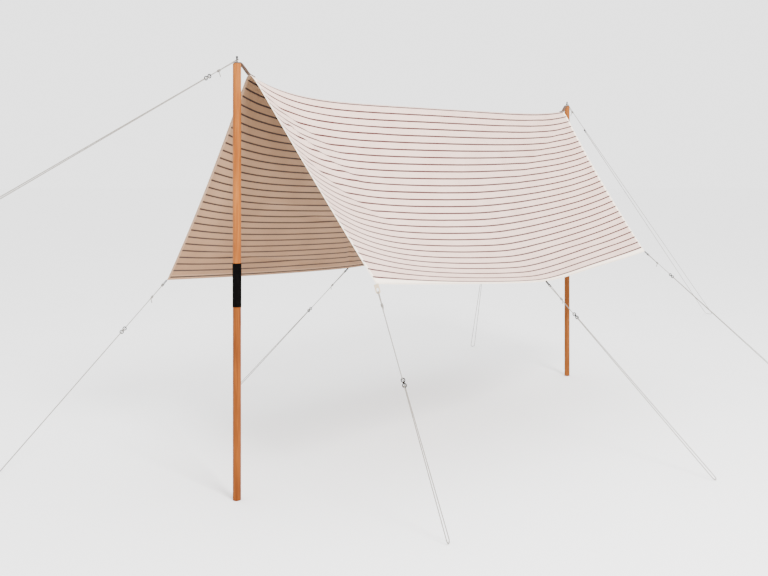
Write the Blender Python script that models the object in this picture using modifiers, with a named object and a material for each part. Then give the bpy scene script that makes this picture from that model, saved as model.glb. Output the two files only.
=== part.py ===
"""Ridge canopy of striped canvas, hung between two wooden poles and held out by guy lines.

Metres, +Z up. The origin is on the ground, midway between the two poles. +Y runs along the
ridge from the near pole to the far pole, and +X is the front slope's side.
"""
from math import cos, pi, sin

import bmesh
import bpy
from mathutils import Matrix, Vector

# Gap that touching pieces keep, and the side counts of round pieces
GAP = 0.0003
POLE_SIDES = 32
SPIKE_SIDES = 16
ARC_STEPS = 6
STRAP_ARC_STEPS = 8
RING_STEPS = 12
KNOT_SEGMENTS = 12
KNOT_RINGS = 8
WELD = 0.00001

# Poles: two wooden halves that meet inside a steel sleeve, with a spike on top
POLE_SPACING = 3.27
POLE_HEIGHT = 2.0
POLE_RADIUS = 0.019
POLE_CHAMFER = 0.0015
POLE_JOINT_HEIGHT = 0.985
SLEEVE_LENGTH = 0.2
SLEEVE_WALL = 0.0013
SPIKE_HEIGHT = 0.034
SPIKE_RADIUS = 0.004
SPIKE_HEAD_RADIUS = 0.0055
SPIKE_HEAD_HEIGHT = 0.007

# Canopy: one cloth, with its ridge line and its two bottom edges
CLOTH_THICKNESS = 0.003
RIDGE_HALF_LENGTH = 1.56
EDGE_HALF_LENGTH = 1.535
RIDGE_ROUNDING = 0.035
END_HOLLOW = 0.012
END_HOLLOW_POWER = 5
CLOTH_COLUMNS = 20
CLOTH_ROWS = 22
RIDGE_CROWDING = 0.35

# Ridge line: height of its ends, sag at its middle, how much more it sags towards the near end
RIDGE_END_HEIGHT = 1.957
RIDGE_SAG = 0.07
RIDGE_SAG_TILT = 0.035
RIDGE_SAG_POWER = 6

# Bottom edges: distance from the ridge's plane and height, at the near end, middle and far end
FRONT_EDGE = ((0.739, 1.036), (0.704, 0.904), (0.639, 0.963))
BACK_EDGE = ((-0.635, 0.953), (-0.735, 0.884), (-0.64, 0.955))
EDGE_CURVE_POWER = 1.4
FRONT_EDGE_BOW = 0.05
FRONT_EDGE_BOW_POWER = 1.5

# Back slope: how deep it sags at its middle, and the share of that lost at its ends
BACK_SAG = 0.035
BACK_SAG_LOSS = 0.75

# Front slope, which hangs slacker, with its deepest place as a share of the way down
FRONT_SAG = 0.14
FRONT_SAG_LOSS = 0.9
FRONT_SAG_POWER = 4
FRONT_DEEPEST = 0.62
FRONT_DEEPEST_RISE = 0.14

# Webbing loops sewn to the bottom edges: a flat ring with a slot near its outer end
LOOP_LENGTH = 0.042
LOOP_WIDTH = 0.022
LOOP_THICKNESS = 0.003
LOOP_BAND = 0.0065
LOOP_SLOT_START = 0.016
LOOP_SLOT_EASE = 0.0005
LOOP_SEAT = 0.0006
STEEP_LOOP_SEAT = 0.0013

# Ridge loops: a strap from the canopy's ridge, once round the spike
STRAP_RADIUS = 0.003
STRAP_SPREAD = 0.006
STRAP_EDGE_REACH = 0.0205
STRAP_SEAT = 0.0004
STRAP_DROP = 0.001

# Guy lines
CORD_RADIUS = 0.002
CORD_PASS = 0.0026
KNOT_RADIUS = 0.0065
KNOT_START = 0.004
KNOT_END = 0.01
END_KNOT_RADIUS = 0.0042
TAIL_REACH = 0.014
TAIL_DROP = 0.028
TAIL_LEAD = 0.003
TAIL_OFFSET = 0.002
LOOP_EYE_RADIUS = 0.0043
EYE_SLACK = 0.0005
SPIKE_EYE_RADIUS = 0.0075
SPIKE_EYE_LIFT = 0.016
GROUND_LIFT = 0.0024
SLIDER_LEAD = 0.004
RUN_START = 0.03
RUN_CLEARANCE = 0.001

# Sliders: a flat figure of eight, one ring over the other
SLIDER_THICKNESS = 0.003
SLIDER_RING_RADIUS = 0.0105
SLIDER_HOLE_RADIUS = 0.006
SLIDER_RING_OFFSET = 0.011
SLIDER_NECK = 0.005

# Guy name: canopy or spike tie, ground end, knot and slider distances, width at the peg
CORNER_PEG_WIDTH = 0.03
RIDGE_PEG_WIDTH = 0.07
GUYS = {
    "near_ridge": ("near_spike", (-0.18, -5.28), 0.12, 0.19, RIDGE_PEG_WIDTH),
    "far_ridge": ("far_spike", (-0.18, 5.28), 0.112, 0.379, RIDGE_PEG_WIDTH),
    "front_near": ("front_near", (1.04, -1.44), 0.092, 0.42, CORNER_PEG_WIDTH),
    "front_middle": ("front_middle", (1.63, 0.0), 0.13, 0.25, CORNER_PEG_WIDTH),
    "front_far": ("front_far", (1.38, 2.37), 0.124, 0.263, CORNER_PEG_WIDTH),
    "back_near": ("back_near", (-1.17, -2.16), 0.113, 0.33, CORNER_PEG_WIDTH),
    "back_middle": ("back_middle", (-1.63, -0.15), 0.17, 0.42, CORNER_PEG_WIDTH),
    "back_far": ("back_far", (-1.17, 2.16), 0.113, 0.33, CORNER_PEG_WIDTH),
}
# Edge loops: side of the ridge, share of the half length, and clearance to the cloth's edge
LOOP_STATIONS = {
    "front_near": (1, -1.0, STEEP_LOOP_SEAT),
    "front_middle": (1, 0.0, LOOP_SEAT),
    "front_far": (1, 1.0, LOOP_SEAT),
    "back_near": (-1, -1.0, LOOP_SEAT),
    "back_middle": (-1, 0.0, LOOP_SEAT),
    "back_far": (-1, 1.0, LOOP_SEAT),
}

# Colour, roughness and metallic value of each material
WOOD = ((0.62, 0.30, 0.12), 0.45, 0.0)
BLACK_STEEL = ((0.02, 0.02, 0.022), 0.5, 0.6)
BRIGHT_STEEL = ((0.55, 0.54, 0.52), 0.3, 1.0)
CANVAS = ((0.86, 0.82, 0.76), 0.9, 0.0)
WEBBING = ((0.72, 0.68, 0.6), 0.85, 0.0)
CORD = ((0.85, 0.84, 0.82), 0.8, 0.0)


def clear_scene():
    for item in list(bpy.data.objects):
        bpy.data.objects.remove(item, do_unlink=True)


def new_collection(name):
    collection = bpy.data.collections.new(name)
    bpy.context.scene.collection.children.link(collection)
    return collection


def give_material(item, look):
    colour, roughness, metallic = look
    material = bpy.data.materials.new(item.name)
    material.use_nodes = True
    shader = material.node_tree.nodes["Principled BSDF"]
    shader.inputs["Base Color"].default_value = (*colour, 1.0)
    shader.inputs["Roughness"].default_value = roughness
    shader.inputs["Metallic"].default_value = metallic
    item.data.materials.clear()
    item.data.materials.append(material)


def link_part(name, data, look, location=(0.0, 0.0, 0.0)):
    part = bpy.data.objects.new(name, data)
    part.location = location
    PARTS.objects.link(part)
    give_material(part, look)
    return part


def turned(name, profile, sides, look, location, closed=False):
    """A body of revolution from (radius, height) points that run down its outer side."""
    mesh = bpy.data.meshes.new(name)
    points = [(radius, 0.0, height) for radius, height in profile]
    edges = [(index, index + 1) for index in range(len(points) - 1)]
    if closed:
        edges.append((len(points) - 1, 0))
    mesh.from_pydata(points, edges, [])
    part = link_part(name, mesh, look, location)
    screw = part.modifiers.new("Turn", "SCREW")
    screw.steps = sides
    screw.render_steps = sides
    screw.use_merge_vertices = True
    screw.merge_threshold = 0.0001
    screw.use_smooth_shade = True
    return part


def ridge_line(along):
    """Height of the ridge, level at its ends and sagging between them."""
    sag = RIDGE_SAG - RIDGE_SAG_TILT * along
    return RIDGE_END_HEIGHT - sag * (1 - along**RIDGE_SAG_POWER)


def edge_value(near, middle, far, along):
    tilt = (far - near) / 2
    rise = (far + near) / 2 - middle
    return middle + tilt * along + rise * abs(along) ** EDGE_CURVE_POWER


def edge_point(side, along):
    """Point on the front (side 1) or back (side -1) bottom edge."""
    near, middle, far = FRONT_EDGE if side > 0 else BACK_EDGE
    across = edge_value(near[0], middle[0], far[0], along)
    height = edge_value(near[1], middle[1], far[1], along)
    if side > 0:
        across -= FRONT_EDGE_BOW * abs(sin(pi * along)) ** FRONT_EDGE_BOW_POWER
    return Vector((across, EDGE_HALF_LENGTH * along, height))


def slope_drop(share):
    """Share of a slope's height lost at a share of its width, with a rounded ridge."""
    peak = (share**2 + RIDGE_ROUNDING**2) ** 0.5 - RIDGE_ROUNDING
    return peak / ((1 + RIDGE_ROUNDING**2) ** 0.5 - RIDGE_ROUNDING)


def bow(share, deepest):
    """0 at both ends of a slope and 1 at its deepest share."""
    falling = (1 - share) / (1 - deepest)
    return ((share / deepest) ** deepest * falling ** (1 - deepest)) ** 2


def slope_sag(side, share, along):
    """Depth of a slope below a straight line from the ridge to its bottom edge."""
    if side < 0:
        return BACK_SAG * (1 - BACK_SAG_LOSS * along**2) * bow(share, 0.5)
    depth = FRONT_SAG * (1 - FRONT_SAG_LOSS * along**FRONT_SAG_POWER)
    return depth * bow(share, FRONT_DEEPEST - FRONT_DEEPEST_RISE * along**2)


def canopy_point(across, along):
    """Point of the cloth's middle surface, for across and along from -1 to 1."""
    side = 1 if across >= 0 else -1
    share = min(abs(across), 1.0)
    ridge = Vector((0.0, RIDGE_HALF_LENGTH * along, ridge_line(along)))
    edge = edge_point(side, along)
    fall = (edge - ridge).normalized()
    inward = Vector((fall.z * side, 0.0, -abs(fall.x)))
    point = ridge + (edge - ridge) * share
    point.z = ridge.z + (edge.z - ridge.z) * slope_drop(share)
    point += inward * slope_sag(side, share, along)
    point.y -= END_HOLLOW * bow(share, 0.5) * along**END_HOLLOW_POWER
    return point


def make_canopy():
    bpy.ops.mesh.primitive_grid_add(
        x_subdivisions=CLOTH_COLUMNS, y_subdivisions=CLOTH_ROWS, size=2.0
    )
    canopy = bpy.context.object
    canopy.name = "canopy"
    canopy.data.name = "canopy"
    for vertex in canopy.data.vertices:
        across, along = vertex.co.x, vertex.co.y
        vertex.co = canopy_point(across * abs(across) ** RIDGE_CROWDING, along)
    canopy.data.shade_smooth()
    thickness = canopy.modifiers.new("Cloth", "SOLIDIFY")
    thickness.thickness = CLOTH_THICKNESS
    thickness.offset = 0.0
    for collection in list(canopy.users_collection):
        collection.objects.unlink(canopy)
    PARTS.objects.link(canopy)
    give_material(canopy, CANVAS)


def make_pole(end, side):
    """One pole: lower half, upper half, sleeve and spike, at the near or far end."""
    foot = Vector((0.0, side * POLE_SPACING / 2, 0.0))
    lower_top = POLE_JOINT_HEIGHT - GAP / 2
    upper_start = POLE_JOINT_HEIGHT + GAP / 2
    for name, start, stop in (("lower", 0.0, lower_top), ("upper", upper_start, POLE_HEIGHT)):
        length = stop - start
        profile = (
            (0.0, length),
            (POLE_RADIUS - POLE_CHAMFER, length),
            (POLE_RADIUS, length - POLE_CHAMFER),
            (POLE_RADIUS, POLE_CHAMFER),
            (POLE_RADIUS - POLE_CHAMFER, 0.0),
            (0.0, 0.0),
        )
        turned(f"{end}_pole_{name}", profile, POLE_SIDES, WOOD, foot + Vector((0, 0, start)))
    inner = POLE_RADIUS + GAP
    outer = inner + SLEEVE_WALL
    sleeve = (
        (inner, SLEEVE_LENGTH / 2),
        (outer, SLEEVE_LENGTH / 2),
        (outer, -SLEEVE_LENGTH / 2),
        (inner, -SLEEVE_LENGTH / 2),
    )
    middle = foot + Vector((0, 0, POLE_JOINT_HEIGHT))
    turned(f"{end}_pole_sleeve", sleeve, POLE_SIDES, BLACK_STEEL, middle, closed=True)
    neck = SPIKE_HEIGHT - SPIKE_HEAD_HEIGHT
    bevel = SPIKE_HEAD_RADIUS - SPIKE_RADIUS
    spike = (
        (0.0, SPIKE_HEIGHT),
        (SPIKE_RADIUS, SPIKE_HEIGHT),
        (SPIKE_HEAD_RADIUS, SPIKE_HEIGHT - bevel),
        (SPIKE_HEAD_RADIUS, neck + bevel),
        (SPIKE_RADIUS, neck),
        (SPIKE_RADIUS, GAP),
        (0.0, GAP),
    )
    top = foot + Vector((0, 0, POLE_HEIGHT))
    turned(f"{end}_pole_spike", spike, SPIKE_SIDES, BRIGHT_STEEL, top)


def poly_curve(name, points, radius):
    """A round tube along points, as a curve with capped ends."""
    curve = bpy.data.curves.new(name, "CURVE")
    curve.dimensions = "3D"
    curve.bevel_depth = radius
    curve.bevel_resolution = 2
    curve.use_fill_caps = True
    spline = curve.splines.new("POLY")
    spline.points.add(len(points) - 1)
    for place, point in zip(spline.points, points):
        place.co = (*point, 1.0)
    return curve


def arc(centre, start_axis, end_axis, radius, steps=ARC_STEPS):
    """Half circle from +end_axis round through start_axis to -end_axis."""
    points = []
    for step in range(steps + 1):
        angle = pi * step / steps
        points.append(centre + end_axis * (radius * cos(angle)) + start_axis * (radius * sin(angle)))
    return points


def make_ridge_loop(end, side):
    """Strap from the canopy's ridge over the pole's top edge and round the spike."""
    height = POLE_HEIGHT + GAP + STRAP_RADIUS
    spike = Vector((0.0, side * POLE_SPACING / 2, height))
    outward = Vector((0.0, side, 0.0))
    sideways = Vector((1.0, 0.0, 0.0))
    turn = SPIKE_RADIUS + GAP + STRAP_RADIUS
    sewn_height = ridge_line(side) - STRAP_DROP
    sewn = Vector((0.0, side * (RIDGE_HALF_LENGTH + STRAP_SEAT), sewn_height))
    over_edge = spike - outward * STRAP_EDGE_REACH
    first = [sewn + sideways * STRAP_SPREAD, over_edge + sideways * turn]
    last = [over_edge - sideways * turn, sewn - sideways * STRAP_SPREAD]
    points = first + arc(spike, outward, sideways, turn, STRAP_ARC_STEPS) + last
    link_part(f"{end}_ridge_loop", poly_curve(f"{end}_ridge_loop", points, STRAP_RADIUS), WEBBING)


def guy_ends(name):
    """Tie point, ground point, unit direction and sideways axis of a guy line."""
    tie_name, ground = GUYS[name][:2]
    if tie_name in LOOP_STATIONS:
        tie = edge_point(*LOOP_STATIONS[tie_name][:2])
    else:
        side = -1 if tie_name.startswith("near") else 1
        tie = Vector((0.0, side * POLE_SPACING / 2, POLE_HEIGHT + SPIKE_EYE_LIFT))
    end = Vector((*ground, GROUND_LIFT))
    direction = (end - tie).normalized()
    sideways = direction.cross(Vector((0.0, 0.0, 1.0))).normalized()
    return tie, end, direction, sideways


def plate_matrix(origin, direction, sideways):
    """Frame whose X runs along the guy and whose Z is the plate's normal."""
    up = sideways.cross(direction)
    columns = (direction, up, sideways)
    return Matrix.Translation(origin) @ Matrix(
        [[column[row] for column in columns] for row in range(3)]
    ).to_4x4()


def flat_outline(name, outlines, thickness):
    curve = bpy.data.curves.new(name, "CURVE")
    curve.dimensions = "2D"
    curve.fill_mode = "BOTH"
    curve.extrude = thickness / 2
    for outline in outlines:
        spline = curve.splines.new("POLY")
        spline.points.add(len(outline) - 1)
        spline.use_cyclic_u = True
        for place, (x, y) in zip(spline.points, outline):
            place.co = (x, y, 0.0, 1.0)
    return curve


def arc_points(centre_x, radius, start, stop, steps):
    points = []
    for step in range(steps + 1):
        angle = start + (stop - start) * step / steps
        points.append((centre_x + radius * cos(angle), radius * sin(angle)))
    return points


def slot_outline(start, stop, radius, steps=ARC_STEPS):
    """Round-ended slot along X."""
    first = arc_points(stop - radius, radius, -pi / 2, pi / 2, steps)
    second = arc_points(start + radius, radius, pi / 2, 3 * pi / 2, steps)
    return first + second


def make_edge_loop(name):
    """Flat webbing ring, butted to the canopy's edge, in the plane of its guy line."""
    tie, _, direction, sideways = guy_ends(name)
    half = LOOP_WIDTH / 2
    rounded = arc_points(LOOP_LENGTH - half, half, -pi / 2, pi / 2, STRAP_ARC_STEPS)
    outer = [(0.0, half), (0.0, -half)] + rounded
    slot_radius = half - LOOP_BAND + LOOP_SLOT_EASE
    slot = slot_outline(LOOP_SLOT_START, LOOP_LENGTH - LOOP_BAND, slot_radius)
    curve = flat_outline(f"{name}_loop", (outer, slot), LOOP_THICKNESS)
    loop = link_part(f"{name}_loop", curve, WEBBING)
    seat = LOOP_STATIONS[name][2]
    loop.matrix_world = plate_matrix(tie + direction * seat, direction, sideways)


def make_slider(name):
    """Figure-of-eight plate on the guy line, with a hole in each ring."""
    tie, _, direction, sideways = guy_ends(name)
    place = tie + direction * GUYS[name][3]
    neck_angle = pi - SLIDER_NECK / SLIDER_RING_RADIUS
    far_ring = arc_points(SLIDER_RING_OFFSET, SLIDER_RING_RADIUS, -neck_angle, neck_angle, RING_STEPS)
    near_ring = [(-x, -y) for x, y in far_ring]
    holes = [
        arc_points(ring, SLIDER_HOLE_RADIUS, 0.0, 2 * pi, RING_STEPS)[:-1]
        for ring in (SLIDER_RING_OFFSET, -SLIDER_RING_OFFSET)
    ]
    curve = flat_outline(f"{name}_slider", (far_ring + near_ring, *holes), SLIDER_THICKNESS)
    slider = link_part(f"{name}_slider", curve, BRIGHT_STEEL)
    slider.matrix_world = plate_matrix(place, direction, sideways)


def guy_route(name):
    """Points of one guy line: tail, eye, knot, slider, peg turn and back to the slider."""
    tie_name, _, knot, slider, peg_width = GUYS[name]
    tie, end, direction, sideways = guy_ends(name)
    length = (end - tie).length
    on_edge = tie_name in LOOP_STATIONS
    eye_radius = LOOP_EYE_RADIUS if on_edge else SPIKE_EYE_RADIUS
    eye = 0.0
    if on_edge:
        eye = LOOP_STATIONS[tie_name][2] + LOOP_LENGTH - LOOP_BAND + EYE_SLACK
    beside = SLIDER_THICKNESS / 2 + GAP + CORD_RADIUS
    through = slider - SLIDER_RING_OFFSET
    half_peg = peg_width / 2

    def place(along, out):
        return tie + direction * along + sideways * out

    knot_point = place(knot, 0.0)
    tail = knot_point - sideways * TAIL_REACH - Vector((0.0, 0.0, TAIL_DROP))
    points = [tail, place(knot + TAIL_LEAD, -CORD_PASS - TAIL_OFFSET)]
    points += [place(knot - KNOT_START, -CORD_PASS)]
    points += arc(tie + direction * eye, -direction, -sideways, eye_radius)
    points += [place(knot - KNOT_START, CORD_PASS), place(knot + KNOT_END, CORD_PASS)]
    points += [place(through - beside - SLIDER_LEAD, beside), place(through - beside, beside)]
    points += [place(through + beside, -beside), place(slider + RUN_START, -beside)]
    points += arc(place(length - half_peg, 0.0), direction, -sideways, half_peg)
    points += [place(slider + RUN_START, beside + RUN_CLEARANCE)]
    points += [place(slider + SLIDER_RING_OFFSET, SLIDER_THICKNESS / 2 + GAP + END_KNOT_RADIUS)]
    return points, knot_point, points[-1]


def knot_cutter(name, centre, radius):
    bpy.ops.mesh.primitive_uv_sphere_add(
        segments=KNOT_SEGMENTS, ring_count=KNOT_RINGS, radius=radius, location=centre
    )
    ball = bpy.context.object
    ball.name = name
    ball.hide_render = True
    ball.display_type = "WIRE"
    for collection in list(ball.users_collection):
        collection.objects.unlink(ball)
    CUTTERS.objects.link(ball)
    return ball


def welded_mesh(name, curve):
    """The curve's tube as a mesh whose caps are welded on."""
    source = bpy.data.objects.new(name + "_route", curve)
    CUTTERS.objects.link(source)
    graph = bpy.context.evaluated_depsgraph_get()
    mesh = bpy.data.meshes.new_from_object(source.evaluated_get(graph))
    bpy.data.objects.remove(source, do_unlink=True)
    welder = bmesh.new()
    welder.from_mesh(mesh)
    bmesh.ops.remove_doubles(welder, verts=welder.verts, dist=WELD)
    welder.to_mesh(mesh)
    welder.free()
    return mesh


def make_guy(name):
    """One guy line with its knots, as a single closed body."""
    points, knot_point, end_point = guy_route(name)
    mesh = welded_mesh(f"{name}_guy", poly_curve(f"{name}_guy", points, CORD_RADIUS))
    guy = link_part(f"{name}_guy", mesh, CORD)
    knots = (("knot", knot_point, KNOT_RADIUS), ("end_knot", end_point, END_KNOT_RADIUS))
    for label, centre, radius in knots:
        union = guy.modifiers.new(label, "BOOLEAN")
        union.operation = "UNION"
        union.solver = "EXACT"
        union.object = knot_cutter(f"{name}_{label}_cutter", centre, radius)


clear_scene()
PARTS = new_collection("Ridge canopy")
CUTTERS = new_collection("Cutters")
make_canopy()
for pole_end, pole_side in (("near", -1), ("far", 1)):
    make_pole(pole_end, pole_side)
    make_ridge_loop(pole_end, pole_side)
for station in LOOP_STATIONS:
    make_edge_loop(station)
for guy_name in GUYS:
    make_slider(guy_name)
    make_guy(guy_name)
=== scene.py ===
"""Looks of a ridge canopy: striped canvas on two wooden poles, held out by guy lines.

Metres, +Z up. The origin is on the ground, midway between the two poles. +Y runs along the
ridge from the near pole to the far pole, and +X is the front slope's side.
"""
from math import cos, pi, sin, sqrt

import bmesh
import bpy
import numpy as np
from mathutils import Matrix, Vector


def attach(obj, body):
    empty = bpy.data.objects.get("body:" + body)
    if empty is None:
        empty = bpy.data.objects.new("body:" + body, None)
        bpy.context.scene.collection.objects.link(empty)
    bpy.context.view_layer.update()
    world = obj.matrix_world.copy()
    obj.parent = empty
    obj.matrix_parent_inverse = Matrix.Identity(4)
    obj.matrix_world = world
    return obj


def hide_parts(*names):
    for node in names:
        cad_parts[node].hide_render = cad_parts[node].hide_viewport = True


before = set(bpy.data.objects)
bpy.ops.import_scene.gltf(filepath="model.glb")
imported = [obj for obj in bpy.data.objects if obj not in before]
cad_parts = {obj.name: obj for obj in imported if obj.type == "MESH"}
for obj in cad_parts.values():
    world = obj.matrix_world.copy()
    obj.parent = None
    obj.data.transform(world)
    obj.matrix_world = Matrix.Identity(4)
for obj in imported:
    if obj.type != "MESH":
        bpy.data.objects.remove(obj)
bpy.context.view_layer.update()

BODY = "root"

# Poles
POLE_SPACING = 3.27
POLE_HEIGHT = 2.0
GAP = 0.0003

# Canopy: the ridge line and the two bottom edges
RIDGE_HALF_LENGTH = 1.56
EDGE_HALF_LENGTH = 1.535
RIDGE_ROUNDING = 0.035
END_HOLLOW = 0.012
END_HOLLOW_POWER = 5
RIDGE_END_HEIGHT = 1.957
RIDGE_SAG = 0.07
RIDGE_SAG_TILT = 0.035
RIDGE_SAG_POWER = 6
FRONT_EDGE = ((0.739, 1.036), (0.704, 0.904), (0.639, 0.963))
BACK_EDGE = ((-0.635, 0.953), (-0.735, 0.884), (-0.64, 0.955))
EDGE_CURVE_POWER = 1.4
FRONT_EDGE_BOW = 0.05
FRONT_EDGE_BOW_POWER = 1.5
FRONT_EDGE_DROP = 0.012

# Back slope: how deep it sags at its middle, and the share of that lost at its ends
BACK_SAG = 0.035
BACK_SAG_LOSS = 0.75

# Front slope, which hangs slacker, with its deepest place as a share of the way down
FRONT_SAG = 0.14
FRONT_SAG_LOSS = 0.9
FRONT_SAG_POWER = 4
FRONT_DEEPEST = 0.62
FRONT_DEEPEST_RISE = 0.14

# Folds of each slope: start and end as shares along and down it, height, half width
FRONT_FOLDS = (
    ((-0.98, 0.10), (-0.60, 0.30), -0.010, 0.035),
    ((-0.98, 0.20), (-0.60, 0.45), 0.010, 0.030),
    ((-0.95, 0.35), (-0.50, 0.65), -0.008, 0.040),
    ((-0.80, 0.10), (-0.30, 0.20), 0.006, 0.040),
    ((-0.75, 0.40), (-0.20, 0.45), 0.005, 0.035),
    ((0.95, 0.10), (0.30, 0.45), -0.010, 0.050),
    ((0.80, 0.05), (0.30, 0.15), 0.006, 0.035),
    ((0.95, 0.95), (0.10, 0.75), 0.005, 0.045),
)
BACK_FOLDS = (
    ((-0.96, 0.02), (-0.45, 0.30), -0.006, 0.050),
    ((-0.90, 0.85), (-0.10, 0.95), 0.006, 0.030),
    ((-0.55, 0.62), (0.45, 0.80), 0.008, 0.045),
    ((-0.80, 0.55), (0.10, 0.60), -0.005, 0.035),
    ((0.96, 0.02), (0.45, 0.34), -0.007, 0.050),
    ((0.94, 0.10), (0.20, 0.55), 0.007, 0.060),
    ((0.92, 0.88), (0.10, 0.80), 0.006, 0.035),
    ((0.00, 0.98), (-0.25, 0.62), 0.005, 0.030),
)
FOLD_LEAD = 0.15
FOLD_FADE = 0.35
FOLD_NARROW = 0.35

# Cloth: flat size, thickness, stripes and hems
CLOTH_LENGTH = 3.14
SLOPE_WIDTH = 1.187
CLOTH_THICKNESS = 0.0012
HEM_EXTRA = 0.0009
SIDE_HEM = 0.016
BOTTOM_HEM = 0.03
FIRST_STRIPE = 0.012
STRIPE_COUNT = 28
LAST_STRIPE_TO_EDGE = 0.036
STRIPE_PITCH = (SLOPE_WIDTH - LAST_STRIPE_TO_EDGE - FIRST_STRIPE) / (STRIPE_COUNT - 1)
STRIPE_WIDTH = 0.0092
PLAIN_HEM_OUTSIDE = 0.006
PLAIN_HEM_INSIDE = 0.014
STITCH_INSET = 0.003
STITCH_PITCH = 0.0035
LENGTH_CELLS = 240
SLOPE_CELLS = 76

# Webbing loops on the bottom edges
LOOP_LENGTH = 0.042
LOOP_BAND = 0.0065
FLAT_LOOP_WIDTH = 0.022
FLAT_LOOP_THICKNESS = 0.003
FLAT_LOOP_SLOT_START = 0.016
FLAT_LOOP_ROUNDING = 0.0008
FOLDED_HALF_WIDTH = 0.005
FOLDED_FLATNESS = 0.36
# Half the gap between the tape's two layers, by distance along the loop
FOLDED_PROFILE = (
    (0.0, 0.0022),
    (0.012, 0.0024),
    (0.022, 0.0028),
    (0.032, 0.0044),
    (0.0378, 0.0036),
)
LOOP_SEAT = 0.0006
STEEP_LOOP_SEAT = 0.0013

# Straps from the ridge to the spikes
SPIKE_RADIUS = 0.004
STRAP_RADIUS = 0.003
STRAP_HALF_WIDTH = 0.006
STRAP_FLATNESS = 0.5
STRAP_CLOSING = 0.0066
STRAP_SPREAD = 0.006
STRAP_EDGE_REACH = 0.0205
STRAP_SEAT = 0.0004
STRAP_DROP = 0.001
TAPE_SIDES = 14
TAB_LENGTH = 0.034
TAB_HALF_WIDTH = 0.0075
TAB_FLATNESS = 0.42
TAB_LIFT = 0.003
TAB_STEPS = 6

# Guy lines
CORD_RADIUS = 0.002
CORD_PASS = 0.0026
TAIL_REACH = 0.014
TAIL_DROP = 0.028
FLAT_LOOP_EYE_RADIUS = 0.0043
FOLDED_LOOP_EYE_RADIUS = 0.0078
EYE_SLACK = 0.0005
SPIKE_EYE_RADIUS = 0.0075
SPIKE_EYE_LIFT = 0.016
GROUND_LIFT = 0.0024
KNOT_TURNS = 3
KNOT_START = 0.004
WRAP_STEPS = 12
WRAP_START = 0.007
WRAP_LENGTH = 0.013
WRAP_SPREAD = 1.9
CORD_SIDES = 10
SLIDER_LEAD = 0.004
RETURN_LEAD = 0.03
CORNER_PEG_WIDTH = 0.03
RIDGE_PEG_WIDTH = 0.07

# Sliders
SLIDER_THICKNESS = 0.003
SLIDER_RING_RADIUS = 0.0105
SLIDER_HOLE_RADIUS = 0.006
SLIDER_RING_OFFSET = 0.011
SLIDER_NECK = 0.005
SLIDER_ROUNDING = 0.0012

# Flat plates: weld distance and the angle, in radians, above which an edge stays sharp
WELD_DISTANCE = 0.00001
SHARP_ANGLE = 0.6

# Guy name: tie, ground end, knot and slider distances, width at the peg
GUYS = {
    "near_ridge": ("near_spike", (-0.18, -5.28), 0.12, 0.19, RIDGE_PEG_WIDTH),
    "far_ridge": ("far_spike", (-0.18, 5.28), 0.112, 0.379, RIDGE_PEG_WIDTH),
    "front_near": ("front_near", (1.04, -1.44), 0.092, 0.42, CORNER_PEG_WIDTH),
    "front_middle": ("front_middle", (1.63, 0.0), 0.13, 0.25, CORNER_PEG_WIDTH),
    "front_far": ("front_far", (1.38, 2.37), 0.124, 0.263, CORNER_PEG_WIDTH),
    "back_near": ("back_near", (-1.17, -2.16), 0.113, 0.33, CORNER_PEG_WIDTH),
    "back_middle": ("back_middle", (-1.63, -0.15), 0.17, 0.42, CORNER_PEG_WIDTH),
    "back_far": ("back_far", (-1.17, 2.16), 0.113, 0.33, CORNER_PEG_WIDTH),
}
FLAT_LOOP = "front_near"
LOOP_STATIONS = {
    "front_near": (1, -1.0, STEEP_LOOP_SEAT),
    "front_middle": (1, 0.0, LOOP_SEAT),
    "front_far": (1, 1.0, LOOP_SEAT),
    "back_near": (-1, -1.0, LOOP_SEAT),
    "back_middle": (-1, 0.0, LOOP_SEAT),
    "back_far": (-1, 1.0, LOOP_SEAT),
}

# Camera: where it stands, where it looks, its lens and its upward shift
CAMERA_PLACE = (3.0945, -4.4466, 1.4874)
CAMERA_FORWARD = (-0.6220, 0.7830, 0.0)
CAMERA_FOCUS_PIXELS = 900.0
IMAGE_WIDTH = 768.0
IMAGE_HEIGHT = 576.0
HORIZON_PIXEL = 175.39
SENSOR_WIDTH = 36.0

# Studio light
SKY_STRENGTH = 2.7


# Node helpers

def new_material(name):
    material = bpy.data.materials.new(name)
    material.use_nodes = True
    return material


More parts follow.
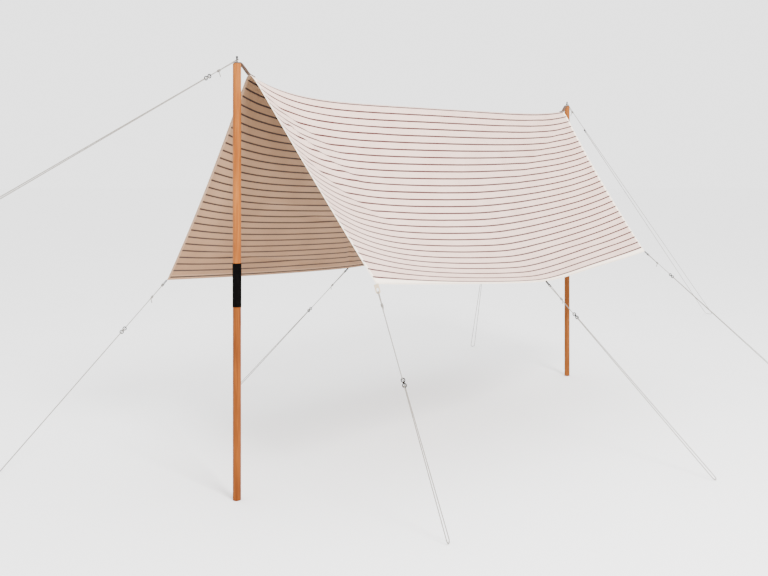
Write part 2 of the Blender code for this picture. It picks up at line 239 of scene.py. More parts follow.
class Nodes:
    """Short calls for building a material's node tree around its Principled shader."""

    def __init__(self, material):
        self.tree = material.node_tree
        self.shader = self.tree.nodes["Principled BSDF"]

    def add(self, kind, **settings):
        made = self.tree.nodes.new(kind)
        for key, value in settings.items():
            setattr(made, key, value)
        return made

    def feed(self, socket, value):
        if isinstance(value, bpy.types.NodeSocket):
            self.tree.links.new(value, socket)
        else:
            socket.default_value = value

    def math(self, operation, *values):
        made = self.add("ShaderNodeMath", operation=operation)
        for socket, value in zip(made.inputs, values):
            self.feed(socket, value)
        return made.outputs[0]

    def smooth(self, value, low, high):
        """0 below low, 1 above high, with a smooth step between."""
        made = self.add("ShaderNodeMapRange", interpolation_type="SMOOTHSTEP")
        self.feed(made.inputs["Value"], value)
        self.feed(made.inputs["From Min"], low)
        self.feed(made.inputs["From Max"], high)
        return made.outputs["Result"]

    def spread(self, value, low, high):
        """A 0 to 1 value moved to the range from low to high."""
        made = self.add("ShaderNodeMapRange")
        self.feed(made.inputs["Value"], value)
        self.feed(made.inputs["To Min"], low)
        self.feed(made.inputs["To Max"], high)
        return made.outputs["Result"]

    def mix(self, share, first, second, blend="MIX"):
        made = self.add("ShaderNodeMix", data_type="RGBA", blend_type=blend)
        self.feed(made.inputs["Factor"], share)
        self.feed(made.inputs["A"], first)
        self.feed(made.inputs["B"], second)
        return made.outputs["Result"]

    def coordinates(self, kind, scale=(1.0, 1.0, 1.0)):
        """Object or UV coordinates, scaled."""
        source = self.add("ShaderNodeTexCoord")
        mapping = self.add("ShaderNodeMapping")
        self.feed(mapping.inputs["Vector"], source.outputs[kind])
        self.feed(mapping.inputs["Scale"], scale)
        return mapping.outputs["Vector"]

    def noise(self, vector, scale, detail=3.0, roughness=0.5):
        made = self.add("ShaderNodeTexNoise")
        self.feed(made.inputs["Vector"], vector)
        self.feed(made.inputs["Scale"], scale)
        self.feed(made.inputs["Detail"], detail)
        self.feed(made.inputs["Roughness"], roughness)
        return made.outputs["Fac"]

    def split(self, vector):
        made = self.add("ShaderNodeSeparateXYZ")
        self.feed(made.inputs[0], vector)
        return made.outputs

    def bump(self, height, strength, distance):
        made = self.add("ShaderNodeBump")
        self.feed(made.inputs["Height"], height)
        self.feed(made.inputs["Strength"], strength)
        self.feed(made.inputs["Distance"], distance)
        self.feed(self.shader.inputs["Normal"], made.outputs["Normal"])

    def set(self, **values):
        names = {"colour": "Base Color", "roughness": "Roughness", "metallic": "Metallic"}
        names["sheen"] = "Sheen Weight"
        names["specular"] = "Specular IOR Level"
        for key, value in values.items():
            self.feed(self.shader.inputs[names[key]], value)


def rgb(red, green, blue):
    """Linear colour from an sRGB one in 0 to 255."""
    def linear(value):
        value = value / 255
        return value / 12.92 if value <= 0.04045 else ((value + 0.055) / 1.055) ** 2.4

    return (linear(red), linear(green), linear(blue), 1.0)


# Materials

def canvas_material(name, ground, ground_dark, stripe, stripe_dark, hem_highlight, plain_hem, painted_shade_tints):
    """Woven canvas with thin stripes parallel to the ridge, from UVs in metres.

    The last argument holds painted shade: tints at the ridge and at the bottom edge that darken the
    cloth where shade falls.
    """
    material = new_material(name)
    n = Nodes(material)
    cloth = n.coordinates("UV")
    along, across, _ = n.split(cloth)
    waver = n.spread(n.noise(n.coordinates("UV", (9.0, 2.0, 1.0)), 1.0, 2.0), -0.0006, 0.0006)
    steps = n.math("DIVIDE", n.math("SUBTRACT", n.math("ADD", across, waver), FIRST_STRIPE),
                   STRIPE_PITCH)
    nearest = n.math("MAXIMUM", n.math("MINIMUM", n.math("ROUND", steps), STRIPE_COUNT - 1.0),
                     -float(STRIPE_COUNT))
    off = n.math("MULTIPLY", n.math("ABSOLUTE", n.math("SUBTRACT", steps, nearest)), STRIPE_PITCH)
    threads = n.noise(n.coordinates("UV", (60.0, 1100.0, 1.0)), 1.0, 2.0)
    half_width = n.spread(threads, STRIPE_WIDTH * 0.44, STRIPE_WIDTH * 0.56)
    outside = n.smooth(off, n.math("SUBTRACT", half_width, 0.0004),
                       n.math("ADD", half_width, 0.0004))
    from_end = n.math("SUBTRACT", CLOTH_LENGTH / 2, n.math("ABSOLUTE", along))
    printed = n.smooth(from_end, plain_hem - 0.0008, plain_hem + 0.0008)
    inside = n.math("MULTIPLY", n.math("SUBTRACT", 1.0, outside), printed)
    cloudy = n.noise(cloth, 5.0, 4.0)
    slubs = n.noise(n.coordinates("UV", (14.0, 620.0, 1.0)), 1.0, 3.0, 0.6)
    weft = n.noise(n.coordinates("UV", (620.0, 14.0, 1.0)), 1.0, 3.0, 0.6)
    yarn = n.math("MULTIPLY", n.math("ADD", slubs, weft), 0.5)
    ground_colour = n.mix(n.smooth(n.math("ADD", n.math("MULTIPLY", cloudy, 0.5),
                                          n.math("MULTIPLY", yarn, 0.5)), 0.35, 0.62),
                          ground_dark, ground)
    stripe_colour = n.mix(n.smooth(threads, 0.3, 0.7), stripe_dark, stripe)
    from_edge = n.math("SUBTRACT", SLOPE_WIDTH, n.math("ABSOLUTE", across))
    in_side = n.smooth(from_end, SIDE_HEM + 0.0008, SIDE_HEM - 0.0008)
    in_bottom = n.smooth(from_edge, BOTTOM_HEM + 0.0008, BOTTOM_HEM - 0.0008)
    in_hem = n.math("MAXIMUM", in_side, in_bottom)
    seam_side = n.math("ABSOLUTE", n.math("SUBTRACT", from_end, SIDE_HEM - STITCH_INSET))
    seam_bottom = n.math("ABSOLUTE", n.math("SUBTRACT", from_edge, BOTTOM_HEM - STITCH_INSET))
    seam = n.smooth(n.math("MINIMUM", seam_side, seam_bottom), 0.0012, 0.0004)
    dashes = n.smooth(n.math("SINE", n.math("MULTIPLY", n.math("ADD", along, across),
                                            2 * pi / STITCH_PITCH)), -0.5, 0.1)
    stitches = n.math("MULTIPLY", seam, dashes)
    # Painted highlight: the hems take a lighter colour than the cloth, standing in for light caught by
    # the folded edge.
    plain = n.mix(in_hem, ground_colour, hem_highlight)
    printed_cloth = n.mix(inside, plain, stripe_colour)
    sewn = n.mix(n.math("MULTIPLY", stitches, 0.5), printed_cloth, ground_dark)
    # Painted shade: tints that darken the cloth towards the ridge and towards the bottom edge.
    from_ridge = n.math("ABSOLUTE", across)
    upper = n.mix(n.smooth(from_ridge, 0.0, 0.6), painted_shade_tints[0], (1.0, 1.0, 1.0, 1.0))
    painted_shade_tint = n.mix(n.smooth(from_ridge, 0.55, 1.15), upper, painted_shade_tints[1])
    n.set(colour=n.mix(1.0, sewn, painted_shade_tint, "MULTIPLY"))
    n.set(roughness=n.spread(yarn, 0.82, 0.95), specular=0.2, sheen=0.15)
    warp = n.math("SINE", n.math("MULTIPLY", along, 2 * pi / 0.0016))
    fill = n.math("SINE", n.math("MULTIPLY", across, 2 * pi / 0.0016))
    weave = n.math("MULTIPLY", warp, fill)
    height = n.math("ADD", n.math("MULTIPLY", weave, 0.35), yarn)
    n.bump(n.math("SUBTRACT", height, n.math("MULTIPLY", seam, 1.5)), 0.35, 0.0006)
    return material


def wood_material(name, light, dark, offset):
    """Oiled softwood with straight grain along the pole."""
    material = new_material(name)
    n = Nodes(material)
    place = n.add("ShaderNodeMapping")
    n.feed(place.inputs["Vector"], n.add("ShaderNodeTexCoord").outputs["Object"])
    n.feed(place.inputs["Location"], offset)
    n.feed(place.inputs["Scale"], (1.0, 1.0, 0.045))
    grain = n.noise(place.outputs["Vector"], 170.0, 5.0, 0.6)
    figure = n.noise(place.outputs["Vector"], 38.0, 2.0)
    slow = n.noise(n.coordinates("Object", (1.0, 1.0, 0.35)), 9.0, 2.0)
    rings = n.math("SINE", n.math("MULTIPLY", figure, 46.0))
    mixed = n.math("ADD", n.math("MULTIPLY", grain, 0.55), n.math("MULTIPLY", slow, 0.45))
    shade = n.math("ADD", mixed, n.math("MULTIPLY", rings, 0.035))
    n.set(colour=n.mix(n.smooth(shade, 0.3, 0.72), dark, light))
    n.set(roughness=n.spread(grain, 0.42, 0.6), specular=0.1)
    n.bump(n.math("ADD", grain, n.math("MULTIPLY", rings, 0.1)), 0.25, 0.0004)
    return material


def metal_material(name, colour, worn, roughness, metallic, wear_scale=55.0):
    """Metal with fine scratches, slight stains and an uneven finish."""
    material = new_material(name)
    n = Nodes(material)
    stains = n.noise(n.coordinates("Object"), wear_scale, 4.0, 0.6)
    scratches = n.noise(n.coordinates("Object", (1.0, 1.0, 0.08)), 900.0, 2.0)
    n.set(colour=n.mix(n.smooth(stains, 0.42, 0.75), colour, worn))
    n.set(roughness=n.spread(n.math("ADD", n.math("MULTIPLY", stains, 0.6),
                                    n.math("MULTIPLY", scratches, 0.4)),
                             roughness - 0.1, roughness + 0.14))
    n.set(metallic=metallic, specular=0.5 if metallic else 0.02)
    n.bump(scratches, 0.08, 0.0002)
    return material


def strap_material(name, light, dark, rib):
    """Woven webbing with ribs of the given spacing, from UVs in metres."""
    material = new_material(name)
    n = Nodes(material)
    along, across, _ = n.split(n.coordinates("UV"))
    ribs = n.math("SINE", n.math("MULTIPLY", along, 2 * pi / rib))
    rows = n.math("SINE", n.math("MULTIPLY", across, 2 * pi / (rib * 1.6)))
    weave = n.math("MULTIPLY", ribs, rows)
    fuzz = n.noise(n.coordinates("UV"), 900.0, 3.0)
    shade = n.math("ADD", n.math("MULTIPLY", weave, 0.22), fuzz)
    n.set(colour=n.mix(n.smooth(shade, 0.3, 0.8), dark, light))
    n.set(roughness=n.spread(fuzz, 0.8, 0.95), specular=0.2, sheen=0.1)
    n.bump(n.math("ADD", n.math("MULTIPLY", weave, 0.5), n.math("MULTIPLY", fuzz, 0.5)),
           0.5, 0.0005)
    return material


def cord_material(name, light, dark):
    """Braided cord: crossed helical strands, from UVs along and round the cord in metres."""
    material = new_material(name)
    n = Nodes(material)
    along, around, _ = n.split(n.coordinates("UV"))
    first = n.math("ADD", n.math("MULTIPLY", along, 1.0), around)
    second = n.math("SUBTRACT", n.math("MULTIPLY", along, 1.0), around)
    turn = 2 * pi / 0.0016
    strands = n.math("MULTIPLY", n.math("SINE", n.math("MULTIPLY", first, turn)),
                     n.math("SINE", n.math("MULTIPLY", second, turn)))
    fuzz = n.noise(n.coordinates("UV"), 700.0, 3.0)
    shade = n.math("ADD", n.math("MULTIPLY", strands, 0.25), fuzz)
    n.set(colour=n.mix(n.smooth(shade, 0.25, 0.75), dark, light))
    n.set(roughness=n.spread(fuzz, 0.6, 0.8), specular=0.3)
    n.bump(n.math("ADD", n.math("MULTIPLY", strands, 0.6), n.math("MULTIPLY", fuzz, 0.4)),
           0.6, 0.0004)
    return material


# Shared geometry

def ridge_line(along):
    """Height of the ridge, level at its ends and sagging between them."""
    sag = RIDGE_SAG - RIDGE_SAG_TILT * along
    return RIDGE_END_HEIGHT - sag * (1 - along**RIDGE_SAG_POWER)


def edge_value(values, along):
    near, middle, far = values
    tilt = (far - near) / 2
    rise = (far + near) / 2 - middle
    return middle + tilt * along + rise * np.abs(along) ** EDGE_CURVE_POWER


def edge_points(side, along):
    """Points on the front (side 1) or back (side -1) bottom edge, for an array of places."""
    edge = FRONT_EDGE if side > 0 else BACK_EDGE
    across = edge_value([point[0] for point in edge], along)
    height = edge_value([point[1] for point in edge], along)
    if side > 0:
        across = across - FRONT_EDGE_BOW * np.abs(np.sin(pi * along)) ** FRONT_EDGE_BOW_POWER
        height = height - FRONT_EDGE_DROP * np.sin(pi * np.clip(along, 0.0, 1.0))
    return np.stack((across, EDGE_HALF_LENGTH * along, height), -1)


def slope_drop(share):
    peak = np.sqrt(share**2 + RIDGE_ROUNDING**2) - RIDGE_ROUNDING
    return peak / (sqrt(1 + RIDGE_ROUNDING**2) - RIDGE_ROUNDING)


def bow(share, deepest):
    """0 at both ends of a slope and 1 at its deepest share."""
    falling = (1 - share) / (1 - deepest)
    return ((share / deepest) ** deepest * falling ** (1 - deepest)) ** 2


def slope_sag(side, share, along):
    """Depth of a slope below a straight line from the ridge to its bottom edge."""
    if side < 0:
        return BACK_SAG * (1 - BACK_SAG_LOSS * along**2) * bow(share, 0.5)
    depth = FRONT_SAG * (1 - FRONT_SAG_LOSS * along**FRONT_SAG_POWER)
    return depth * bow(share, FRONT_DEEPEST - FRONT_DEEPEST_RISE * along**2)


def fold_heights(folds, share, along):
    """Height of the folds over the smooth cloth."""
    total = 0 * share
    for start, end, height, half_width in folds:
        first = np.array((start[0] * RIDGE_HALF_LENGTH, start[1] * SLOPE_WIDTH))
        run = np.array((end[0] * RIDGE_HALF_LENGTH, end[1] * SLOPE_WIDTH)) - first
        length = np.hypot(*run)
        run = run / length
        x = along * RIDGE_HALF_LENGTH - first[0]
        y = share * SLOPE_WIDTH - first[1]
        t = np.clip((x * run[0] + y * run[1]) / length, 0.0, 1.0)
        aside = y * run[0] - x * run[1]
        shown = np.clip(t / FOLD_LEAD, 0.0, 1.0) * np.clip((1 - t) / FOLD_FADE, 0.0, 1.0)
        shown = shown * shown * (3 - 2 * shown)
        wide = half_width * (FOLD_NARROW + (1 - FOLD_NARROW) * t)
        total = total + height * shown * np.exp(-((aside / wide) ** 2))
    return total


def slope_points(side, share, along):
    """The cloth's middle surface on one slope."""
    heights = ridge_line(along)
    ridge = np.stack((0 * along, RIDGE_HALF_LENGTH * along, heights), -1)
    edge = edge_points(side, along)
    fall = edge - ridge
    fall = fall / np.linalg.norm(fall, axis=-1, keepdims=True)
    inward = np.stack((fall[..., 2] * side, 0 * along, -np.abs(fall[..., 0])), -1)
    points = ridge + (edge - ridge) * share[..., None]
    points[..., 2] = ridge[..., 2] + (edge[..., 2] - ridge[..., 2]) * slope_drop(share)
    folds = fold_heights(FRONT_FOLDS if side > 0 else BACK_FOLDS, share, along)
    points = points + inward * (slope_sag(side, share, along) - folds)[..., None]
    points[..., 1] -= END_HOLLOW * bow(share, 0.5) * along**END_HOLLOW_POWER
    return points


def slope_grid(side):
    """A slope as a grid of points at even distances along the cloth, and its UVs."""
    along = np.linspace(-1.0, 1.0, LENGTH_CELLS + 1)
    fine = np.linspace(0.0, 1.0, 4 * SLOPE_CELLS + 1)
    share, place = np.meshgrid(fine, along)
    points = slope_points(side, share, place)
    steps = np.linalg.norm(np.diff(points, axis=1), axis=-1)
    run = np.concatenate((np.zeros((len(along), 1)), np.cumsum(steps, axis=1)), 1)
    run = run / run[:, -1:]
    even = np.linspace(0.0, 1.0, SLOPE_CELLS + 1)
    shares = np.stack([np.interp(even, row, fine) for row in run])
    _, place = np.meshgrid(even, along)
    return slope_points(side, shares, place), even, along


# Canopy

def grid_faces(rows, columns, start=0):
    index = start + np.arange(rows * columns).reshape(rows, columns)
    return np.stack((index[:-1, :-1], index[1:, :-1], index[1:, 1:], index[:-1, 1:]), -1).reshape(-1, 4)


def make_canopy(outside, inside):
    """One closed thin sheet, with thicker hems round its edge."""
    front, even, along = slope_grid(1)
    back, _, _ = slope_grid(-1)
    points = np.concatenate((back[:, ::-1], front[:, 1:]), axis=1)
    across = np.concatenate((-even[::-1], even[1:])) * SLOPE_WIDTH
    run = along * CLOTH_LENGTH / 2
    rows, columns = points.shape[:2]
    grow_run = np.gradient(points, axis=0)
    grow_across = np.gradient(points, axis=1)
    normal = np.cross(grow_across, grow_run)
    normal = normal / np.linalg.norm(normal, axis=-1, keepdims=True)
    to_side = (CLOTH_LENGTH / 2 - np.abs(run))[:, None]
    to_bottom = (SLOPE_WIDTH - np.abs(across))[None, :]
    in_hem = (to_side < SIDE_HEM) | (to_bottom < BOTTOM_HEM)
    half = (CLOTH_THICKNESS + HEM_EXTRA * in_hem)[..., None] / 2
    top = (points + normal * half).reshape(-1, 3)
    low = (points - normal * half).reshape(-1, 3)
    uv = np.stack(np.broadcast_arrays(run[:, None], across[None, :]), -1).reshape(-1, 2)
    count = rows * columns
    upper = grid_faces(rows, columns)[:, ::-1]
    lower = grid_faces(rows, columns, count)
    index = np.arange(count).reshape(rows, columns)
    rim = np.concatenate((index[0, :-1], index[:-1, -1], index[-1, :0:-1], index[:0:-1, 0]))
    following = np.roll(rim, -1)
    sides = np.stack((rim, following, following + count, rim + count), -1)
    if np.dot(normal[rows // 2, columns - 5], (1.0, 0.0, 0.0)) < 0:
        upper, lower, sides = upper[:, ::-1], lower[:, ::-1], sides[:, ::-1]
    mesh = bpy.data.meshes.new("canopy_cloth")
    mesh.from_pydata(np.concatenate((top, low)), [], np.concatenate((upper, lower, sides)).tolist())
    layer = mesh.uv_layers.new(name="Cloth")
    loops = np.zeros(len(mesh.loops), dtype=np.int32)
    mesh.loops.foreach_get("vertex_index", loops)
    layer.data.foreach_set("uv", np.concatenate((uv, uv))[loops].ravel())
    mesh.materials.append(outside)
    # The second material, on the inner faces, carries painted shade.
    mesh.materials.append(inside)
    slots = np.zeros(len(mesh.polygons), dtype=np.int32)
    slots[len(upper):len(upper) + len(lower)] = 1
    mesh.polygons.foreach_set("material_index", slots)
    mesh.update()
    mesh.shade_smooth()
    return link_piece("canopy_cloth", mesh)


def link_piece(name, data):
    piece = bpy.data.objects.new(name, data)
    bpy.context.scene.collection.objects.link(piece)
    return piece


# Straps, loops, sliders and cords

def sweep(points, radius, sides, flat=1.0, start_up=Vector((0.0, 0.0, 1.0))):
    """Vertices, faces and UVs of a closed tube along points, oval when flat isn't 1."""
    points = [Vector(point) for point in points]
    vertices = []
    uvs = []
    up = start_up
    distance = 0.0
    for index, point in enumerate(points):
        before = points[max(index - 1, 0)]
        after = points[min(index + 1, len(points) - 1)]
        forward = (after - before).normalized()
        up = (up - forward * up.dot(forward)).normalized()
        side = forward.cross(up)
        if index:
            distance += (point - points[index - 1]).length
        for step in range(sides):
            angle = 2 * pi * step / sides
            vertices.append(point + side * (radius * cos(angle)) + up * (radius * flat * sin(angle)))
            uvs.append((distance, radius * angle))
    faces = []
    for ring in range(len(points) - 1):
        for step in range(sides):
            following = (step + 1) % sides
            first = ring * sides
            second = first + sides
            faces.append((first + step, first + following, second + following, second + step))
    faces.append(tuple(range(sides))[::-1])
    faces.append(tuple(range((len(points) - 1) * sides, len(points) * sides)))
    return vertices, faces, uvs


def mesh_from(name, parts, material):
    """One smooth mesh from several (vertices, faces, UVs) parts."""
    vertices, faces, uvs = [], [], []
    for part_vertices, part_faces, part_uvs in parts:
        start = len(vertices)
        vertices += part_vertices
        uvs += part_uvs
        faces += [tuple(start + index for index in face) for face in part_faces]
    mesh = bpy.data.meshes.new(name)
    mesh.from_pydata(vertices, [], faces)
    layer = mesh.uv_layers.new(name="Run")
    for loop in mesh.loops:
        layer.data[loop.index].uv = uvs[loop.vertex_index]
    mesh.materials.append(material)
    mesh.update()
    mesh.shade_smooth()
    return mesh


def spline(points, per_span=6):
    """A smooth curve through the points, whose long spans stay straight."""
    points = [Vector(point) for point in points]
    lengths = [(after - before).length for before, after in zip(points, points[1:])]
    slopes = [(after - before) / length
              for before, after, length in zip(points, points[1:], lengths)]
    tangents = [slopes[0]]
    for index in range(1, len(points) - 1):
        before, after = lengths[index - 1], lengths[index]
        tangents.append((slopes[index - 1] * before + slopes[index] * after) / (before + after))
    tangents.append(slopes[-1])
    curve = []
    for index, length in enumerate(lengths):
        start, end = points[index], points[index + 1]
        leave, arrive = tangents[index] * length, tangents[index + 1] * length
        for step in range(per_span):
            t = step / per_span
            curve.append((2 * t**3 - 3 * t**2 + 1) * start + (t**3 - 2 * t**2 + t) * leave
                         + (3 * t**2 - 2 * t**3) * end + (t**3 - t**2) * arrive)
    return curve + [points[-1]]


def arc(centre, start_axis, end_axis, radius, steps=8):
    """Half circle from +end_axis round through start_axis to -end_axis."""
    points = []
    for step in range(steps + 1):
        angle = pi * step / steps
        points.append(centre + end_axis * (radius * cos(angle)) + start_axis * (radius * sin(angle)))
    return points


def make_ridge_strap(end, side, material):
    """Strap from the canopy's ridge over the pole's top edge and round the spike."""
    height = POLE_HEIGHT + GAP + STRAP_RADIUS
    spike = Vector((0.0, side * POLE_SPACING / 2, height))
    outward = Vector((0.0, side, 0.0))
    sideways = Vector((1.0, 0.0, 0.0))
    turn = SPIKE_RADIUS + GAP + STRAP_HALF_WIDTH
    sewn = Vector((0.0, side * (RIDGE_HALF_LENGTH + STRAP_SEAT), ridge_line(side) - STRAP_DROP))
    over_edge = spike - outward * STRAP_EDGE_REACH
    first = [sewn + sideways * STRAP_SPREAD, over_edge + sideways * STRAP_CLOSING]
    last = [over_edge - sideways * STRAP_CLOSING, sewn - sideways * STRAP_SPREAD]
    points = spline(first + arc(spike, outward, sideways, turn) + last, 4)
    tab = []
    for step in range(TAB_STEPS + 1):
        along = side * (RIDGE_HALF_LENGTH - TAB_LENGTH * step / TAB_STEPS)
        height = ridge_line(along / RIDGE_HALF_LENGTH) + TAB_LIFT
        tab.append((0.0, along, height))
    parts = [sweep(points, STRAP_HALF_WIDTH, TAPE_SIDES, STRAP_FLATNESS),
             sweep(tab, TAB_HALF_WIDTH, TAPE_SIDES, TAB_FLATNESS)]
    return link_piece(f"{end}_ridge_strap", mesh_from(f"{end}_ridge_strap", parts, material))


def guy_ends(name):
    """Tie point, ground point, unit direction and sideways axis of a guy line."""
    tie_name, ground = GUYS[name][:2]
    if tie_name in LOOP_STATIONS:
        side, along, _ = LOOP_STATIONS[tie_name]
        tie = Vector(edge_points(side, np.array(float(along))))
    else:
        side = -1 if tie_name.startswith("near") else 1
        tie = Vector((0.0, side * POLE_SPACING / 2, POLE_HEIGHT + SPIKE_EYE_LIFT))
    end = Vector((*ground, GROUND_LIFT))
    direction = (end - tie).normalized()
    sideways = direction.cross(Vector((0.0, 0.0, 1.0))).normalized()
    return tie, end, direction, sideways


def plate_matrix(origin, direction, sideways):
    """Frame whose X runs along the guy and whose Z is the plate's normal."""
    up = sideways.cross(direction)
    columns = (direction, up, sideways)
    return Matrix.Translation(origin) @ Matrix(
        [[column[row] for column in columns] for row in range(3)]
    ).to_4x4()


def flat_piece(name, outlines, thickness, rounding, matrix, material):
    """A flat plate with rounded edges, from closed outlines, as a mesh."""
    curve = bpy.data.curves.new(name, "CURVE")
    curve.dimensions = "2D"
    curve.fill_mode = "BOTH"
    curve.extrude = thickness / 2 - rounding
    curve.bevel_depth = rounding
    curve.bevel_resolution = 3
    curve.offset = -rounding
    for outline in outlines:
        line = curve.splines.new("POLY")
        line.points.add(len(outline) - 1)
        line.use_cyclic_u = True
        for place, (x, y) in zip(line.points, outline):
            place.co = (x, y, 0.0, 1.0)
    route = bpy.data.objects.new(name + "_outline", curve)
    bpy.context.scene.collection.objects.link(route)
    graph = bpy.context.evaluated_depsgraph_get()
    mesh = bpy.data.meshes.new_from_object(route.evaluated_get(graph))
    bpy.data.objects.remove(route, do_unlink=True)
    welder = bmesh.new()
    welder.from_mesh(mesh)
    bmesh.ops.remove_doubles(welder, verts=welder.verts, dist=WELD_DISTANCE)
    layer = welder.loops.layers.uv.new("Run")
    for face in welder.faces:
        for loop in face.loops:
            loop[layer].uv = loop.vert.co.xy
    welder.to_mesh(mesh)
    welder.free()
    mesh.name = name
    mesh.transform(matrix)
    mesh.materials.clear()
    mesh.materials.append(material)
    mesh.shade_smooth()
    mesh.set_sharp_from_angle(angle=SHARP_ANGLE)
    return link_piece(name, mesh)


def arc_points(centre_x, radius, start, stop, steps):
    points = []
    for step in range(steps + 1):
        angle = start + (stop - start) * step / steps
        points.append((centre_x + radius * cos(angle), radius * sin(angle)))
    return points


def make_folded_loop(name, material):
    """Webbing folded back on itself, with the cord's eye passing through the fold."""
    tie, _, direction, sideways = guy_ends(name)
    up = sideways.cross(direction)
    seat = tie + direction * LOOP_STATIONS[name][2]
    over = [seat + direction * along + up * lift for along, lift in FOLDED_PROFILE]
    under = [seat + direction * along - up * lift for along, lift in reversed(FOLDED_PROFILE)]
    fold = seat + direction * (LOOP_LENGTH - FOLDED_HALF_WIDTH * FOLDED_FLATNESS)
    tape = sweep(spline([*over, fold, *under], 5), FOLDED_HALF_WIDTH, TAPE_SIDES, FOLDED_FLATNESS, up)
    return link_piece(f"{name}_webbing", mesh_from(f"{name}_webbing", [tape], material))


def make_flat_loop(name, material):
    """Webbing sewn flat, with a long slot for the cord's eye."""
    tie, _, direction, sideways = guy_ends(name)
    half = FLAT_LOOP_WIDTH / 2
    hole = half - LOOP_BAND + EYE_SLACK
    outer = [(0.0, half), (0.0, -half)] + arc_points(LOOP_LENGTH - half, half, -pi / 2, pi / 2, 16)
    stop = LOOP_LENGTH - LOOP_BAND - hole
    start = FLAT_LOOP_SLOT_START + hole
    slot = arc_points(stop, hole, -pi / 2, pi / 2, 12) + arc_points(start, hole, pi / 2, 1.5 * pi, 12)
    matrix = plate_matrix(tie + direction * LOOP_STATIONS[name][2], direction, sideways)
    return flat_piece(f"{name}_webbing", (outer, slot), FLAT_LOOP_THICKNESS, FLAT_LOOP_ROUNDING,
                      matrix, material)


def make_slider(name, material):
    tie, _, direction, sideways = guy_ends(name)
    neck_angle = pi - SLIDER_NECK / SLIDER_RING_RADIUS
    far_ring = arc_points(SLIDER_RING_OFFSET, SLIDER_RING_RADIUS, -neck_angle, neck_angle, 28)
    near_ring = [(-x, -y) for x, y in far_ring]
    holes = [arc_points(ring, SLIDER_HOLE_RADIUS, 0.0, 2 * pi, 24)[:-1]
             for ring in (SLIDER_RING_OFFSET, -SLIDER_RING_OFFSET)]
    matrix = plate_matrix(tie + direction * GUYS[name][3], direction, sideways)
    return flat_piece(f"{name}_figure_eight", (far_ring + near_ring, *holes), SLIDER_THICKNESS,
                      SLIDER_ROUNDING, matrix, material)


def make_guy(name, material):
    """One guy line: tail, eye, wrapped knot, slider, peg turn and back to the slider."""
    tie_name, _, knot, slider, peg_width = GUYS[name]
    tie, end, direction, sideways = guy_ends(name)
    length = (end - tie).length
    on_edge = tie_name in LOOP_STATIONS
    eye_radius = SPIKE_EYE_RADIUS
    eye = 0.0
    if on_edge:
        eye_radius = FLAT_LOOP_EYE_RADIUS if tie_name == FLAT_LOOP else FOLDED_LOOP_EYE_RADIUS
        eye = LOOP_STATIONS[tie_name][2] + LOOP_LENGTH - LOOP_BAND + EYE_SLACK
    beside = SLIDER_THICKNESS / 2 + GAP + CORD_RADIUS
    through = slider - SLIDER_RING_OFFSET
    half_peg = peg_width / 2
    up = sideways.cross(direction)

    def place(along, out, rise=0.0):
        return tie + direction * along + sideways * out + up * rise

    tail = place(knot, 0.0) - sideways * TAIL_REACH - Vector((0.0, 0.0, TAIL_DROP))
    route = [tail, place(knot + 0.006, -CORD_PASS - 0.006), place(knot - KNOT_START, -CORD_PASS)]
    route += arc(tie + direction * eye, -direction, -sideways, eye_radius)
    route += [place(knot - KNOT_START, CORD_PASS), place(knot + 0.012, CORD_PASS)]
    route += [place(through - beside - SLIDER_LEAD, beside), place(through - beside, beside)]
    route += [place(through + beside, -beside), place(slider + RETURN_LEAD, -beside)]
    route += arc(place(length - half_peg, 0.0), direction, -sideways, half_peg)
    route += [place(slider + RETURN_LEAD, beside + 0.001)]
    route += [place(slider + SLIDER_RING_OFFSET, beside + 0.0015)]
    turns = []
    steps = WRAP_STEPS * KNOT_TURNS
    wide = CORD_PASS + CORD_RADIUS * WRAP_SPREAD
    high = CORD_RADIUS * WRAP_SPREAD
    for step in range(steps + 1):
        angle = 2 * pi * KNOT_TURNS * step / steps
        along = knot - WRAP_START + WRAP_LENGTH * step / steps
        turns.append(place(along, wide * cos(angle), high * sin(angle)))
    parts = [sweep(spline(route, 5), CORD_RADIUS, CORD_SIDES), sweep(turns, CORD_RADIUS, CORD_SIDES)]
    return link_piece(f"{name}_line", mesh_from(f"{name}_line", parts, material))


# Stage

def make_camera():
    data = bpy.data.cameras.new("camera")
    data.sensor_fit = "HORIZONTAL"
    data.sensor_width = SENSOR_WIDTH
    data.lens = CAMERA_FOCUS_PIXELS / IMAGE_WIDTH * SENSOR_WIDTH
    data.shift_y = (HORIZON_PIXEL - IMAGE_HEIGHT / 2) / IMAGE_WIDTH
    data.clip_end = 100.0
    camera = bpy.data.objects.new("camera", data)
    bpy.context.scene.collection.objects.link(camera)
    camera.location = CAMERA_PLACE
    camera.rotation_mode = "QUATERNION"
    camera.rotation_quaternion = Vector(CAMERA_FORWARD).to_track_quat("-Z", "Y")
    bpy.context.scene.camera = camera


def make_floor():
    bpy.ops.mesh.primitive_plane_add(size=400.0, location=(0.0, 0.0, -0.0006))
    floor = bpy.context.object
    floor.name = "floor"
    material = new_material("floor")
    n = Nodes(material)
    n.set(colour=n.mix(n.noise(n.coordinates("Object"), 1.5, 2.0),
                       (0.95, 0.95, 0.95, 1.0), (0.98, 0.98, 0.98, 1.0)))
    n.set(roughness=0.9, specular=0.1)
    floor.data.materials.append(material)


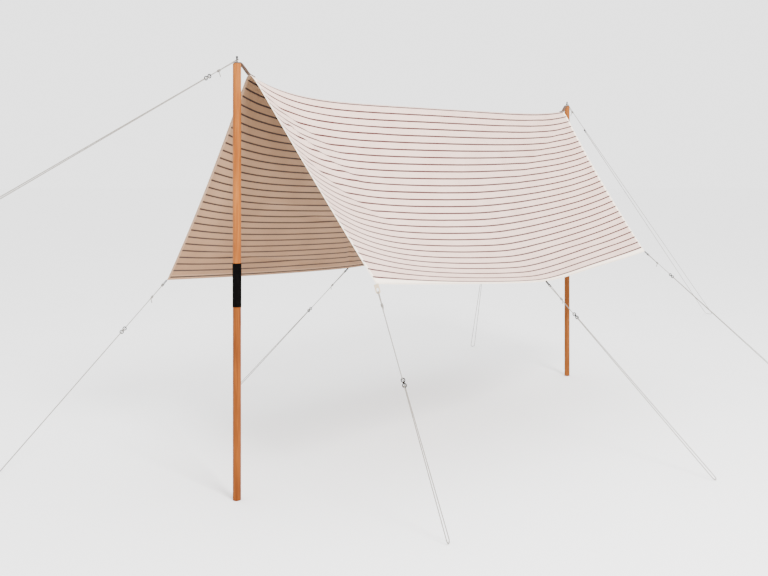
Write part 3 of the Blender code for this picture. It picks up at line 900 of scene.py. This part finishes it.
def make_lights():
    world = bpy.data.worlds.new("studio")
    bpy.context.scene.world = world
    world.use_nodes = True
    background = world.node_tree.nodes["Background"]
    background.inputs["Color"].default_value = (1.0, 1.0, 1.0, 1.0)
    background.inputs["Strength"].default_value = SKY_STRENGTH
    lamps = {
        "key": ((6.5, -3.5, 6.0), (0.0, 0.0, 1.0), 2.2, 1500.0),
    }
    for name, (place, aim, size, power) in lamps.items():
        data = bpy.data.lights.new(name, "AREA")
        data.size = size
        data.energy = power
        lamp = bpy.data.objects.new(name, data)
        bpy.context.scene.collection.objects.link(lamp)
        lamp.location = place
        lamp.rotation_mode = "QUATERNION"
        lamp.rotation_quaternion = (Vector(aim) - Vector(place)).to_track_quat("-Z", "Y")


def add(piece, slot, *nodes):
    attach(piece, BODY)
    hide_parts(*nodes)
    return piece


make_camera()
make_floor()
make_lights()

# The hem colours in these two calls are lighter than the cloth, as a painted highlight.
canvas_out = canvas_material("canvas_outside", rgb(217, 188, 174), rgb(207, 177, 162),
                             rgb(72, 12, 11), rgb(46, 9, 8), rgb(255, 240, 221),
                             PLAIN_HEM_OUTSIDE, (rgb(255, 255, 255), rgb(255, 255, 255)))
# Painted shade: the inner faces get darker, warmer copies of the outside colours, standing in for shade
# under the canopy and for light shining through the canvas; the last two tints add more painted shade
# at the ridge and the bottom edge.
painted_shade_canvas = canvas_material("canvas_inside_painted_shade", rgb(151, 119, 90), rgb(139, 108, 80),
                            rgb(48, 24, 14), rgb(33, 16, 10), rgb(164, 133, 106),
                            PLAIN_HEM_INSIDE, (rgb(222, 216, 208), rgb(240, 231, 219)))
webbing = strap_material("webbing", rgb(216, 199, 172), rgb(170, 150, 124), 0.0016)
dark_webbing = strap_material("dark_webbing", rgb(34, 29, 25), rgb(20, 17, 15), 0.0016)
# Painted shade: the ridge straps are cream webbing coloured dark brown, as if in shade.
ridge_webbing_painted_shade = strap_material("ridge_webbing_painted_shade", rgb(100, 76, 60), rgb(70, 52, 42), 0.0012)
cord = cord_material("guy_cord", rgb(140, 134, 126), rgb(106, 101, 94))
wood_near = wood_material("wood_near", rgb(149, 89, 34), rgb(116, 61, 19), (0.0, 0.0, 0.0))
wood_near_lower = wood_material("wood_near_lower", rgb(123, 65, 15), rgb(86, 39, 8),
                                (5.0, 2.0, 1.0))
wood_far = wood_material("wood_far", rgb(137, 79, 32), rgb(107, 57, 19), (3.0, 1.0, 2.0))
black = metal_material("black_sleeve", rgb(3, 2, 2), rgb(6, 5, 5), 0.6, 0.0)
steel = metal_material("bright_steel", rgb(50, 48, 46), rgb(26, 25, 24), 0.34, 1.0)
slider_steel = metal_material("slider_steel", rgb(20, 19, 19), rgb(8, 8, 8), 0.4, 1.0)

for node_name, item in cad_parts.items():
    look = None
    if node_name.endswith(("_lower", "_upper")):
        look = wood_near if node_name.startswith("near") else wood_far
        if node_name == "near_pole_lower":
            look = wood_near_lower
    elif node_name.endswith("_sleeve"):
        look = black
    elif node_name.endswith("_spike"):
        look = steel
    if look:
        item.data.materials.clear()
        item.data.materials.append(look)

canopy = add(make_canopy(canvas_out, painted_shade_canvas), "canvas", "canopy")
for pole_end, pole_side in (("near", -1), ("far", 1)):
    strap = make_ridge_strap(pole_end, pole_side, ridge_webbing_painted_shade)
    add(strap, "webbing", f"{pole_end}_ridge_loop")
for station in LOOP_STATIONS:
    if station == FLAT_LOOP:
        loop_piece = make_flat_loop(station, webbing)
    else:
        loop_piece = make_folded_loop(station, dark_webbing)
    add(loop_piece, "webbing", f"{station}_loop")
for guy_name in GUYS:
    add(make_slider(guy_name, slider_steel), "bright_steel", f"{guy_name}_slider")
    add(make_guy(guy_name, cord), "guy_cord", f"{guy_name}_guy")
